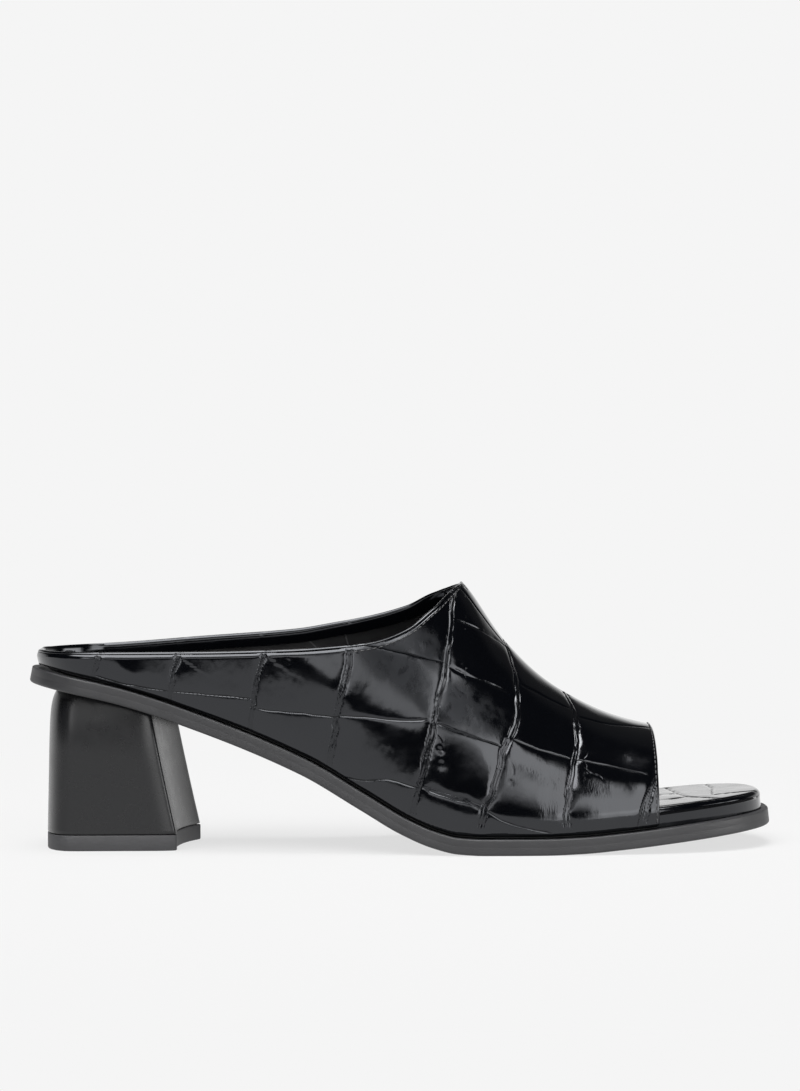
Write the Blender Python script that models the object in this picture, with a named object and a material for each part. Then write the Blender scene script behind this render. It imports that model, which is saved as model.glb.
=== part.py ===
"""Block heel mule, right foot, built as a shoemaker does: bottom, heel, insole, upper.

Metres, +X to the toe, +Y to the inner (medial) side, +Z up. The origin is the middle of
the heel's flat face on the floor. Stations run along the shoe from the back of the sole.
"""

import math

import bmesh
import bpy
from mathutils import Vector

MM = 0.001

# Whole shoe
LENGTH = 258.5 * MM
BALL_WIDTH = 87 * MM
SEAT_HEIGHT = 57.8 * MM
TOE_SPRING = 7.2 * MM
CLEARANCE = 0.3 * MM

# Bottom
SOLE_THICKNESS = 5.5 * MM
SOLE_EDGE_ROUND = 0.9 * MM
SOLE_EDGE_CUT = 0.3
HEEL_END_DEPTH = 25 * MM
TOE_END_DEPTH_OUTER = 48 * MM
TOE_END_DEPTH_INNER = 27 * MM
TOE_END_FULLNESS = 2.5
HEEL_END_FULLNESS = 2.1

# Insole
INSOLE_THICKNESS = 6.8 * MM
INSOLE_HEEL_THICKNESS = 3.5 * MM
INSOLE_EDGE_ROUND = 2.6 * MM
INSOLE_TOE_MARGIN = 2.2 * MM

# Upper
WALL = 1.7 * MM
SOLE_MARGIN = 1.0 * MM
SOLE_MARGIN_BACK = 2.5 * MM
FEATHER_TUCK = 0.9 * MM
FEATHER_TUCK_HEIGHT = 9 * MM
INSTEP_RISE = 85 * MM
TOE_RISE = 32.4 * MM
BACK_BAND = 5.4 * MM
BACK_LEAN = 0.7 * MM
RIDGE_TO_INNER = 4 * MM

# Heel block and top piece
HEEL_SETBACK = 6.2 * MM
HEEL_LENGTH = 49.3 * MM
HEEL_BACK_RAKE = 1.2 * MM
HEEL_FRONT_RAKE = 8.5 * MM
HEEL_TOP_ROUND = 2.6 * MM
HEEL_TOP_ROUND_SHARPNESS = 12
HEEL_WIDTH_TOP = 45 * MM
HEEL_WIDTH_BOTTOM = 43 * MM
HEEL_CORNER = 11 * MM
HEEL_CORNER_FULLNESS = 2.4
BREAST_HOLLOW = 3 * MM
BREAST_SLANT = 3.2 * MM
TOP_PIECE_THICKNESS = 5.4 * MM

# Where the collar's peak and the toe opening lie, as shares of LENGTH
PEAK = 0.587
TOE_OPENING = 0.842

# How finely the curved pieces are faceted, how near the very end of a round one they start,
# how far to each side a slope is taken, and when two points count as one
END_FLAT = 0.05 * MM
SLOPE_REACH = 0.5 * MM
MERGE_DISTANCE = 0.01 * MM
SHARP_EDGE_DEGREES = 40
STATION_STEPS = 60
BAND_STEPS = 34
VAMP_STEPS = 15
SECTION_STEPS = 12
EDGE_STEPS = 4
HEEL_STEPS = 16
HEEL_LAYERS = 9

# One row per section of the last. along is a share of LENGTH. axis and half are the middle
# line and the half width of the sole's outline, as shares of BALL_WIDTH. seat and spring
# are the underside's height, as shares of SEAT_HEIGHT and TOE_SPRING. pad is how far the
# insole has grown from its heel thickness to its full one.
BOTTOM = [
    dict(along=0.000, axis=0.000, half=0.312, seat=1.000, spring=0.0, pad=0.0),
    dict(along=0.043, axis=0.000, half=0.316, seat=0.962, spring=0.0, pad=0.0),
    dict(along=0.124, axis=0.000, half=0.318, seat=0.881, spring=0.0, pad=0.0),
    dict(along=0.240, axis=-0.012, half=0.318, seat=0.706, spring=0.0, pad=0.1),
    dict(along=0.368, axis=-0.036, half=0.326, seat=0.464, spring=0.0, pad=0.4),
    dict(along=0.446, axis=-0.042, half=0.366, seat=0.262, spring=0.0, pad=0.7),
    dict(along=0.500, axis=-0.040, half=0.408, seat=0.122, spring=0.0, pad=0.9),
    dict(along=0.543, axis=-0.034, half=0.444, seat=0.042, spring=0.0, pad=1.0),
    dict(along=0.576, axis=-0.028, half=0.466, seat=0.008, spring=0.0, pad=1.0),
    dict(along=0.612, axis=-0.021, half=0.481, seat=0.000, spring=0.0, pad=1.0),
    dict(along=0.690, axis=0.000, half=0.500, seat=0.000, spring=0.0, pad=1.0),
    dict(along=0.740, axis=0.010, half=0.500, seat=0.000, spring=0.06, pad=1.0),
    dict(along=0.800, axis=0.022, half=0.490, seat=0.000, spring=0.24, pad=1.0),
    dict(along=0.860, axis=0.032, half=0.472, seat=0.000, spring=0.47, pad=1.0),
    dict(along=1.000, axis=0.055, half=0.415, seat=0.000, spring=1.0, pad=0.85),
]

# One row per section of the upper. crown is the height of the last over the sole, from
# TOE_RISE (0) to INSTEP_RISE (1). fullness rounds the section: 2 is an ellipse. outer and
# inner are the collar's height on each side, from the back band (0) to the peak (1).
UPPER = [
    dict(along=0.000, crown=0.92, fullness=2.6, outer=0.000, inner=0.000, shift=0.0),
    dict(along=0.100, crown=0.95, fullness=2.6, outer=0.000, inner=0.040, shift=0.0),
    dict(along=0.229, crown=1.05, fullness=2.5, outer=0.005, inner=0.150, shift=0.2),
    dict(along=0.360, crown=1.20, fullness=2.3, outer=0.045, inner=0.270, shift=0.6),
    dict(along=0.411, crown=1.27, fullness=2.2, outer=0.090, inner=0.370, shift=0.8),
    dict(along=0.461, crown=1.30, fullness=2.1, outer=0.160, inner=0.480, shift=1.0),
    dict(along=0.512, crown=1.25, fullness=2.0, outer=0.370, inner=0.650, shift=1.0),
    dict(along=0.550, crown=1.14, fullness=1.9, outer=0.700, inner=0.870, shift=1.0),
    dict(along=PEAK, crown=1.00, fullness=1.85, outer=1.000, inner=1.000, shift=1.0),
    dict(along=0.640, crown=0.64, fullness=1.9, outer=1.000, inner=1.000, shift=1.0),
    dict(along=0.690, crown=0.39, fullness=2.0, outer=1.000, inner=1.000, shift=1.0),
    dict(along=0.740, crown=0.225, fullness=2.1, outer=1.000, inner=1.000, shift=1.0),
    dict(along=0.787, crown=0.10, fullness=2.2, outer=1.000, inner=1.000, shift=1.0),
    dict(along=TOE_OPENING, crown=0.00, fullness=2.3, outer=1.000, inner=1.000, shift=1.0),
    dict(along=1.000, crown=-0.20, fullness=2.3, outer=1.000, inner=1.000, shift=1.0),
]

PEAK_STATION = PEAK * LENGTH
TOE_OPENING_STATION = TOE_OPENING * LENGTH
HEEL_CENTRE = HEEL_SETBACK + HEEL_LENGTH / 2


def slopes(rows, column):
    """Slope at each row of a curve that never overshoots its rows."""
    steps = []
    for row, nxt in zip(rows, rows[1:]):
        steps.append((nxt[column] - row[column]) / (nxt["along"] - row["along"]))
    inner = []
    for before, after in zip(steps, steps[1:]):
        if before * after <= 0:
            inner.append(0.0)
        else:
            inner.append(2 * before * after / (before + after))
    return [steps[0], *inner, steps[-1]]


SLOPES = {}
for table, columns in ((BOTTOM, ("axis", "half", "seat", "spring", "pad")),
                       (UPPER, ("crown", "fullness", "outer", "inner", "shift"))):
    for name in columns:
        SLOPES[name] = (table, slopes(table, name))


def read(name, station):
    """A column of its table at a station, as a smooth curve through the rows."""
    rows, gradient = SLOPES[name]
    share = min(max(station / LENGTH, 0.0), 1.0)
    index = 0
    while index < len(rows) - 2 and share > rows[index + 1]["along"]:
        index += 1
    start, end = rows[index], rows[index + 1]
    span = end["along"] - start["along"]
    t = (share - start["along"]) / span
    return (
        start[name] * (1 + 2 * t) * (1 - t) ** 2
        + end[name] * t * t * (3 - 2 * t)
        + span * gradient[index] * t * (1 - t) ** 2
        - span * gradient[index + 1] * t * t * (1 - t)
    )


def end_round(distance, depth, fullness):
    """Share of the full width at a distance from a rounded end."""
    short = 1 - min(max(distance / depth, 0.0), 1.0)
    return (1 - short ** fullness) ** (1 / fullness)


def axis(station):
    return read("axis", station) * BALL_WIDTH


def half_width(station, side, inset, heel_inset, toe_inset):
    """Half width of the bottom's outline, drawn in by insets. side is -1 outer, 1 inner."""
    toe_depth = TOE_END_DEPTH_OUTER if side < 0 else TOE_END_DEPTH_INNER
    heel = end_round(station - heel_inset, HEEL_END_DEPTH, HEEL_END_FULLNESS)
    toe = end_round(LENGTH - toe_inset - station, toe_depth, TOE_END_FULLNESS)
    return (read("half", station) * BALL_WIDTH - inset) * heel * toe


def edge(station, side, inset, heel_inset, toe_inset):
    """How far across the outline lies at a station, with insets at its sides and ends."""
    return axis(station) + side * half_width(station, side, inset, heel_inset, toe_inset)


def underside(station):
    return read("seat", station) * SEAT_HEIGHT + read("spring", station) * TOE_SPRING


def incline(station):
    station = min(max(station, SLOPE_REACH), LENGTH - SLOPE_REACH)
    rise = underside(station + SLOPE_REACH) - underside(station - SLOPE_REACH)
    return rise / (2 * SLOPE_REACH)


def over_sole(station, height):
    """World height of a point that stands a height off the sole's underside."""
    return underside(station) + height * math.hypot(1, incline(station))


def off_sole(station, across, height):
    """A point a height off the sole's underside, square to it."""
    length = math.hypot(1, incline(station))
    along = station - height * incline(station) / length
    return Vector((along - HEEL_CENTRE, across, underside(station) + height / length))


def eased(steps, start, end):
    """Stations from start to end, closer together towards both ends."""
    return [start + (end - start) * (1 - math.cos(math.pi * k / steps)) / 2
            for k in range(steps + 1)]


def material(name, colour, roughness, metallic):
    made = bpy.data.materials.new(name)
    made.use_nodes = True
    shader = made.node_tree.nodes["Principled BSDF"]
    shader.inputs["Base Color"].default_value = (*colour, 1)
    shader.inputs["Roughness"].default_value = roughness
    shader.inputs["Metallic"].default_value = metallic
    return made


def add_object(name, bm, finish):
    bmesh.ops.recalc_face_normals(bm, faces=bm.faces)
    mesh = bpy.data.meshes.new(name)
    bm.to_mesh(mesh)
    bm.free()
    mesh.shade_smooth()
    mesh.set_sharp_from_angle(angle=math.radians(SHARP_EDGE_DEGREES))
    mesh.materials.append(finish)
    bpy.context.collection.objects.link(bpy.data.objects.new(name, mesh))


def stack(layers):
    """A closed solid from layers of points, each a grid of rows along and columns across."""
    bm = bmesh.new()
    grids = [[[bm.verts.new(point) for point in row] for row in layer] for layer in layers]
    rows, columns = len(layers[0]), len(layers[0][0])
    for grid in (grids[0], grids[-1]):
        for i in range(rows - 1):
            for k in range(columns - 1):
                bm.faces.new((grid[i][k], grid[i + 1][k], grid[i + 1][k + 1], grid[i][k + 1]))
    border = [(i, 0) for i in range(rows)]
    border += [(rows - 1, k) for k in range(1, columns)]
    border += [(i, columns - 1) for i in range(rows - 2, -1, -1)]
    border += [(0, k) for k in range(columns - 2, 0, -1)]
    for low, high in zip(grids, grids[1:]):
        for (i, k), (m, n) in zip(border, border[1:] + border[:1]):
            bm.faces.new((low[i][k], low[m][n], high[m][n], high[i][k]))
    return bm


def bottom_layer(height, inset, heel_inset, toe_inset):
    """Outer and inner edge points of a sole-shaped layer; height may vary with the station."""
    layer = []
    for station in eased(STATION_STEPS, heel_inset + END_FLAT, LENGTH - toe_inset - END_FLAT):
        level = height(station)
        layer.append([off_sole(station, edge(station, side, inset, heel_inset, toe_inset), level)
                      for side in (-1, 1)])
    return layer


def build_outsole(finish):
    profile = [
        (SOLE_EDGE_ROUND, 0.0),
        (SOLE_EDGE_ROUND * SOLE_EDGE_CUT, SOLE_EDGE_ROUND * SOLE_EDGE_CUT),
        (0.0, SOLE_EDGE_ROUND),
        (0.0, SOLE_THICKNESS - SOLE_EDGE_ROUND / 2),
        (SOLE_EDGE_ROUND / 2, SOLE_THICKNESS),
    ]
    layers = [bottom_layer(lambda station, height=height: height, inset, inset, inset)
              for inset, height in profile]
    add_object("outsole", stack(layers), finish)


INSOLE_INSET = SOLE_MARGIN + FEATHER_TUCK + WALL + CLEARANCE
INSOLE_HEEL_INSET = SOLE_MARGIN_BACK + FEATHER_TUCK + WALL + CLEARANCE


def insole_thickness(station):
    growth = INSOLE_THICKNESS - INSOLE_HEEL_THICKNESS
    return INSOLE_HEEL_THICKNESS + growth * read("pad", station)


def build_insole(finish):
    seat = SOLE_THICKNESS + CLEARANCE
    layers = [bottom_layer(lambda station: seat, INSOLE_INSET, INSOLE_HEEL_INSET,
                           INSOLE_TOE_MARGIN)]
    for k in range(EDGE_STEPS + 1):
        turn = math.pi / 2 * k / EDGE_STEPS
        drawn_in = INSOLE_EDGE_ROUND * (1 - math.cos(turn))
        drop = INSOLE_EDGE_ROUND * (1 - math.sin(turn))

        def height(station, drop=drop):
            return seat + insole_thickness(station) - drop

        layers.append(bottom_layer(height, INSOLE_INSET + drawn_in, INSOLE_HEEL_INSET + drawn_in,
                                   INSOLE_TOE_MARGIN + drawn_in))
    add_object("insole", stack(layers), finish)


def crown(station):
    """Height of the last's ridge over the top of the sole."""
    return TOE_RISE + read("crown", station) * (INSTEP_RISE - TOE_RISE)


def ridge(station):
    return axis(station) + RIDGE_TO_INNER * read("shift", station)


def upper_foot(station):
    return over_sole(station, SOLE_THICKNESS + CLEARANCE)


def upper_point(station, side, level):
    """A point of the last's outer surface at a world height."""
    rise = level - upper_foot(station)
    share = min(max(rise / crown(station), 0.0), 1.0)
    fullness = read("fullness", station)
    narrowing = (1 - share ** fullness) ** (1 / fullness)
    tuck = FEATHER_TUCK * max(0.0, 1 - rise / FEATHER_TUCK_HEIGHT) ** 2
    across = edge(station, side, SOLE_MARGIN + tuck, SOLE_MARGIN_BACK + tuck, SOLE_MARGIN + tuck)
    middle = ridge(station)
    lean = BACK_LEAN * max(0.0, 1 - station / HEEL_END_DEPTH) * min(rise / BACK_BAND, 1.0)
    return Vector((station - HEEL_CENTRE - lean, middle + (across - middle) * narrowing, level))


def collar_level(station, side):
    back = over_sole(0.0, SOLE_THICKNESS) + BACK_BAND
    peak = upper_foot(PEAK_STATION) + crown(PEAK_STATION)
    share = read("outer" if side < 0 else "inner", station)
    return back + share * (peak - back)


def section_levels(station, side):
    """Heights up one side of a section, closer together near the ridge."""
    foot = upper_foot(station)
    top = foot + crown(station)
    if station < PEAK_STATION:
        top = min(top, collar_level(station, side))
    reach = (top - foot) / crown(station)
    turn = math.asin(min(reach, 1.0))
    return [foot + crown(station) * math.sin(turn * k / SECTION_STEPS)
            for k in range(SECTION_STEPS + 1)]


def upper_stations():
    start = SOLE_MARGIN_BACK + FEATHER_TUCK + END_FLAT
    band = eased(BAND_STEPS, start, PEAK_STATION)
    vamp = [PEAK_STATION + (TOE_OPENING_STATION - PEAK_STATION) * k / VAMP_STEPS
            for k in range(1, VAMP_STEPS + 1)]
    return band + vamp


def build_upper(finish):
    bm = bmesh.new()
    stations = upper_stations()
    walk = [(station, -1) for station in reversed(stations)]
    walk += [(station, 1) for station in stations]
    columns = []
    for station, side in walk:
        columns.append([bm.verts.new(upper_point(station, side, level))
                        for level in section_levels(station, side)])
    for left, right in zip(columns, columns[1:]):
        for k in range(SECTION_STEPS):
            bm.faces.new((left[k], left[k + 1], right[k + 1], right[k]))
    feet = [column[0] for column in columns]
    bmesh.ops.remove_doubles(bm, verts=bm.verts, dist=MERGE_DISTANCE)
    inner = thicken(bm, WALL)
    for foot in feet:
        seated = inner[foot]
        seated.co.z = upper_foot(seated.co.x + HEEL_CENTRE)
    add_object("upper", bm, finish)


def thicken(bm, wall):
    """Turn an open sheet into a wall: an inner skin and a strip along every open edge.

    Gives back each outer point's partner on the inner skin.
    """
    bm.normal_update()
    outer = list(bm.verts)
    faces = list(bm.faces)
    open_edges = [line for line in bm.edges if line.is_boundary]
    inner = {vert: bm.verts.new(vert.co - vert.normal * wall) for vert in outer}
    for face in faces:
        bm.faces.new([inner[vert] for vert in reversed(face.verts)])
    for line in open_edges:
        start, end = line.verts
        bm.faces.new((start, end, inner[end], inner[start]))
    return inner


def heel_grid(share, level):
    """Plan of the heel at a share of its height, 0 on the floor and 1 under the seat."""
    rounding = HEEL_TOP_ROUND * share ** HEEL_TOP_ROUND_SHARPNESS
    back = HEEL_SETBACK + HEEL_BACK_RAKE * share + rounding
    front = HEEL_SETBACK + HEEL_LENGTH - HEEL_FRONT_RAKE * share
    half = (HEEL_WIDTH_BOTTOM + (HEEL_WIDTH_TOP - HEEL_WIDTH_BOTTOM) * share) / 2
    rows = []
    for i in range(HEEL_STEPS + 1):
        row = []
        for k in range(HEEL_STEPS + 1):
            across = math.sin(math.pi / 2 * (2 * k / HEEL_STEPS - 1))
            corner = HEEL_CORNER * (1 - end_round(1 - abs(across), 1.0, HEEL_CORNER_FULLNESS))
            hollow = BREAST_HOLLOW * (1 - across * across)
            start = back + corner
            end = front + BREAST_SLANT * across - hollow
            station = start + (end - start) * i / HEEL_STEPS
            row.append(Vector((station - HEEL_CENTRE, across * half, level(station))))
        rows.append(row)
    return rows


def build_heel(finish, lift_finish):
    lift = [heel_grid(0.0, lambda station: 0.0),
            heel_grid(0.0, lambda station: TOP_PIECE_THICKNESS)]
    add_object("top_piece", stack(lift), lift_finish)
    layers = []
    for j in range(HEEL_LAYERS + 1):
        share = 1 - (1 - j / HEEL_LAYERS) ** 2

        def level(station, share=share):
            low = TOP_PIECE_THICKNESS + CLEARANCE
            return low + (underside(station) - CLEARANCE - low) * share

        layers.append(heel_grid(share, level))
    add_object("heel_block", stack(layers), finish)


for old in list(bpy.data.objects):
    bpy.data.objects.remove(old, do_unlink=True)

sole_rubber = material("sole_edge", (0.045, 0.045, 0.047), 0.55, 0.0)
heel_plastic = material("heel_satin", (0.03, 0.03, 0.032), 0.38, 0.0)
lift_rubber = material("lift_rubber", (0.06, 0.06, 0.062), 0.6, 0.0)
insole_leather = material("insole_leather", (0.014, 0.014, 0.015), 0.18, 0.0)
upper_leather = material("upper_leather", (0.012, 0.012, 0.013), 0.18, 0.0)

build_outsole(sole_rubber)
build_heel(heel_plastic, lift_rubber)
build_insole(insole_leather)
build_upper(upper_leather)
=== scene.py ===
"""Block heel mule in black embossed leather: the right shoe, seen from its outer side.

The file follows the shoe as it is put together: studio, outsole, heel block, top piece, insole,
upper, stitches and lining.
Shapes are worked out in millimetres. A station is a distance from the back of the sole.
"""

import math

import bpy
import numpy as np
from mathutils import Matrix, Vector


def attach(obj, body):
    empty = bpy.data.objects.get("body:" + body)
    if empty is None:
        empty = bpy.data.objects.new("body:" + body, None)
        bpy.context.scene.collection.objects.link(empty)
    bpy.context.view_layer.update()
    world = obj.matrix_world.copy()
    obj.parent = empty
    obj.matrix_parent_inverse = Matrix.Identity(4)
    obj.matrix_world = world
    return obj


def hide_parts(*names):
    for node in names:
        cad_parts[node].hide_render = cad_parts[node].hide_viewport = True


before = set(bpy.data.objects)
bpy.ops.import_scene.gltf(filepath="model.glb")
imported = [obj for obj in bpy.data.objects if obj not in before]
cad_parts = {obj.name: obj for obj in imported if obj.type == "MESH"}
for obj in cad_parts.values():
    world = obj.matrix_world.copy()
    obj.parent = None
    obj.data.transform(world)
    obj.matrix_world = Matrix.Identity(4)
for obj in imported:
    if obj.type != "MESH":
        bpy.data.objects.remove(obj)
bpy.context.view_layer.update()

# Studio
# Pale paper behind and below, a tall soft window in front, white boards low down and at the
# toe, and a light overhead. The rest is black, which gives glossy black leather its shapes.
MM = 0.001
PHOTO_HEIGHT = 1091
BACKGROUND = 0.913
camera_place = Vector((97.72, -1350.0, 135.53)) * MM
camera_turn = math.radians(0.04)
camera_dip = math.radians(1.319)
camera_roll = math.radians(-0.228)
camera_focal_pixels = 3865.2

forward = Vector((math.sin(camera_turn) * math.cos(camera_dip),
                  math.cos(camera_turn) * math.cos(camera_dip), -math.sin(camera_dip)))
level = Vector((math.cos(camera_turn), -math.sin(camera_turn), 0.0))
above = level.cross(forward)
right = math.cos(camera_roll) * level + math.sin(camera_roll) * above
upward = -math.sin(camera_roll) * level + math.cos(camera_roll) * above

lens = bpy.data.cameras.new("camera")
lens.sensor_fit = "VERTICAL"
lens.sensor_height = 36.0
lens.lens = camera_focal_pixels / PHOTO_HEIGHT * lens.sensor_height
lens.clip_end = 20.0
camera = bpy.data.objects.new("camera", lens)
camera.matrix_world = Matrix((
    (right.x, upward.x, -forward.x, camera_place.x),
    (right.y, upward.y, -forward.y, camera_place.y),
    (right.z, upward.z, -forward.z, camera_place.z),
    (0, 0, 0, 1)))
bpy.context.scene.collection.objects.link(camera)
bpy.context.scene.camera = camera
bpy.context.scene.view_settings.view_transform = "Standard"


def link(tree, source, target):
    tree.links.new(source, target)


def arithmetic(tree, operation, first, second=None, third=None):
    """A Math node; each of its inputs is a socket or a number."""
    node = tree.nodes.new("ShaderNodeMath")
    node.operation = operation
    for socket, value in zip(node.inputs, (first, second, third)):
        if value is None:
            continue
        if isinstance(value, (int, float)):
            socket.default_value = value
        else:
            link(tree, value, socket)
    return node.outputs[0]


def ramp(tree, value, low, high, at_low=0.0, at_high=1.0):
    """A soft step from one value to another while its input goes from low to high."""
    node = tree.nodes.new("ShaderNodeMapRange")
    node.interpolation_type = "SMOOTHSTEP"
    node.inputs["From Min"].default_value = low
    node.inputs["From Max"].default_value = high
    node.inputs["To Min"].default_value = at_low
    node.inputs["To Max"].default_value = at_high
    link(tree, value, node.inputs["Value"])
    return node.outputs["Result"]


def light_world():
    """What the leather reflects, set out by angles as the boards of a studio would stand.

    Turn is the angle from the camera's side towards the toe, rise the angle above the floor.
    """
    world = bpy.data.worlds.new("studio")
    bpy.context.scene.world = world
    world.use_nodes = True
    tree = world.node_tree
    shine = tree.nodes["Background"]
    way = tree.nodes.new("ShaderNodeSeparateXYZ")
    link(tree, tree.nodes.new("ShaderNodeTexCoord").outputs["Generated"], way.inputs[0])
    x, y, z = way.outputs
    turn = arithmetic(tree, "ARCTAN2", x, arithmetic(tree, "MULTIPLY", y, -1.0))
    turn = arithmetic(tree, "MULTIPLY", turn, math.degrees(1))
    rise = arithmetic(tree, "MULTIPLY", arithmetic(tree, "ARCSINE", z), math.degrees(1))

    def product(*parts):
        total = parts[0]
        for part in parts[1:]:
            total = arithmetic(tree, "MULTIPLY", total, part)
        return total

    def by_turn(*step):
        return ramp(tree, turn, *step)

    def by_rise(*step):
        return ramp(tree, rise, *step)

    sill = arithmetic(tree, "ADD", by_turn(-18, 8, 10, 17), by_turn(11.5, 15, 0, -14))
    over_sill = arithmetic(tree, "DIVIDE", arithmetic(tree, "SUBTRACT", rise, sill),
                           by_turn(-8, 9, 1.2, 6.5))
    head = arithmetic(tree, "ADD", by_turn(-10, 10, 27, 30), by_turn(15, 25, 0, 17))
    over_head = arithmetic(tree, "SUBTRACT", rise, head)
    over_turn = arithmetic(tree, "SUBTRACT", rise, arithmetic(tree, "MAXIMUM", turn, 0.0))
    haze = arithmetic(tree, "ADD", by_turn(8, 16, 0, 0.35), ramp(tree, over_turn, 16, 20, 1, 0.4))
    brightness = arithmetic(tree, "ADD", by_turn(-5, 20, 1.9, 3.1), by_turn(-26, -19, 1.6, 0))
    window = product(ramp(tree, over_sill, -1, 1), ramp(tree, over_head, -4, 4, 1, 0),
                     arithmetic(tree, "MINIMUM", haze, 1.0), by_turn(-42, -34),
                     by_turn(30, 38, 1, 0), brightness)
    low_board = product(by_turn(10, 13), by_turn(36, 44, 1, 0), by_rise(6, 11, 1.3, 0))
    front_edge = product(by_turn(40, 50, 1, 0), by_rise(1, 3.5, 0.9, 0), by_turn(-70, -60))
    overhead = product(by_turn(-75, -60), by_turn(2, 12, 1, 0), by_rise(33, 40),
                       by_rise(68, 76, 6.5, 0))
    toe_board = product(by_turn(50, 60), by_turn(88, 98, 1, 0), by_rise(14, 26, 4.5, 0))
    ceiling = ramp(tree, z, 0.962, 0.985, 0, 12.0)
    paper = product(ramp(tree, y, 0.30, 0.60), ramp(tree, z, 0.06, 0.40, BACKGROUND, 0.03))
    # The black between the boards still gives back a little light.
    light = 0.006
    for part in (window, low_board, front_edge, overhead, toe_board, ceiling, paper):
        light = arithmetic(tree, "ADD", part, light)
    seen = tree.nodes.new("ShaderNodeLightPath").outputs["Is Camera Ray"]
    rest = product(light, arithmetic(tree, "SUBTRACT", 1.0, seen))
    link(tree, arithmetic(tree, "MULTIPLY_ADD", seen, BACKGROUND, rest), shine.inputs["Strength"])
    shine.inputs["Color"].default_value = (1.0, 1.0, 1.0, 1.0)


light_world()

lamp = bpy.data.lights.new("floor_lamp", "AREA")
lamp.size = 1.6
lamp.energy = 6.0
floor_lamp = bpy.data.objects.new("floor_lamp", lamp)
floor_lamp.location = (0.10, -0.10, 1.35)
floor_lamp.visible_camera = False
floor_lamp.visible_glossy = False
bpy.context.scene.collection.objects.link(floor_lamp)


def lay_floor():
    """The sheet of pale paper the shoe stands on; it takes soft shadow only near the shoe."""
    mesh = bpy.data.meshes.new("floor")
    mesh.from_pydata([(-8, -8, 0), (8, -8, 0), (8, 8, 0), (-8, 8, 0)], [], [(0, 1, 2, 3)])
    floor = bpy.data.objects.new("floor", mesh)
    bpy.context.scene.collection.objects.link(floor)
    paper = bpy.data.materials.new("floor_paper")
    paper.use_nodes = True
    tree = paper.node_tree
    tree.nodes.remove(tree.nodes["Principled BSDF"])
    glow = tree.nodes.new("ShaderNodeEmission")
    glow.inputs["Strength"].default_value = BACKGROUND
    matt = tree.nodes.new("ShaderNodeBsdfDiffuse")
    grey = 0.54
    matt.inputs["Color"].default_value = (grey, grey, grey, 1.0)
    mix = tree.nodes.new("ShaderNodeMixShader")
    place = tree.nodes.new("ShaderNodeTexCoord").outputs["Object"]
    span = tree.nodes.new("ShaderNodeVectorMath")
    span.operation = "DISTANCE"
    span.inputs[1].default_value = (0.10, 0.0, 0.0)
    link(tree, place, span.inputs[0])
    near, far, shadow_share = 0.12, 0.45, 0.24
    link(tree, ramp(tree, span.outputs["Value"], near, far, shadow_share, 0.0), mix.inputs["Fac"])
    link(tree, glow.outputs[0], mix.inputs[1])
    link(tree, matt.outputs[0], mix.inputs[2])
    link(tree, mix.outputs[0], tree.nodes["Material Output"].inputs["Surface"])
    mesh.materials.append(paper)


lay_floor()


# Outsole
# One bent sheet of black rubber, cut to the last and buffed along its edge, so the edge is
# charcoal and matt with a fine grain.
LENGTH = 258.5
BALL_WIDTH = 87.0
SEAT_HEIGHT = 57.8
TOE_SPRING = 7.2
SOLE_THICKNESS = 5.5
CLEARANCE = 0.3


def finish(name, colour, roughness):
    """A material with its Principled shader; returns material, tree and shader."""
    made = bpy.data.materials.new(name)
    made.use_nodes = True
    shader = made.node_tree.nodes["Principled BSDF"]
    shader.inputs["Base Color"].default_value = (*colour, 1.0)
    shader.inputs["Roughness"].default_value = roughness
    return made, made.node_tree, shader


def grain_group():
    """Grain drawn in the piece's own space: Size in millimetres, Stretch along each axis."""
    group = bpy.data.node_groups.new("grain", "ShaderNodeTree")
    for name, kind, value in (("Size", "NodeSocketFloat", 1.0), ("Detail", "NodeSocketFloat", 2.0),
                              ("Stretch", "NodeSocketVector", (1.0, 1.0, 1.0))):
        group.interface.new_socket(name, in_out="INPUT", socket_type=kind).default_value = value
    group.interface.new_socket("Value", in_out="OUTPUT", socket_type="NodeSocketFloat")
    given = group.nodes.new("NodeGroupInput")
    put_out = group.nodes.new("NodeGroupOutput")
    place = group.nodes.new("ShaderNodeTexCoord").outputs["Object"]
    stretched = group.nodes.new("ShaderNodeVectorMath")
    stretched.operation = "DIVIDE"
    link(group, place, stretched.inputs[0])
    link(group, given.outputs["Stretch"], stretched.inputs[1])
    cloud = group.nodes.new("ShaderNodeTexNoise")
    link(group, stretched.outputs[0], cloud.inputs["Vector"])
    link(group, arithmetic(group, "DIVIDE", 1 / MM, given.outputs["Size"]), cloud.inputs["Scale"])
    link(group, given.outputs["Detail"], cloud.inputs["Detail"])
    link(group, cloud.outputs["Fac"], put_out.inputs["Value"])
    return group


grain = grain_group()


def noise(tree, size, detail=2.0, stretch=(1.0, 1.0, 1.0)):
    """The grain group placed in a material with its own values."""
    node = tree.nodes.new("ShaderNodeGroup")
    node.node_tree = grain
    node.inputs["Size"].default_value = size
    node.inputs["Detail"].default_value = detail
    node.inputs["Stretch"].default_value = stretch
    return node.outputs["Value"]


def emboss(tree, shader, height, depth, strength=1.0, coat=False):
    """Bump a shader's normal by a height from 0 to 1 that stands for depth millimetres."""
    bump = tree.nodes.new("ShaderNodeBump")
    bump.inputs["Distance"].default_value = depth * MM
    bump.inputs["Strength"].default_value = strength
    link(tree, height, bump.inputs["Height"])
    link(tree, bump.outputs["Normal"], shader.inputs["Normal"])
    if coat:
        link(tree, bump.outputs["Normal"], shader.inputs["Coat Normal"])


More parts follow.
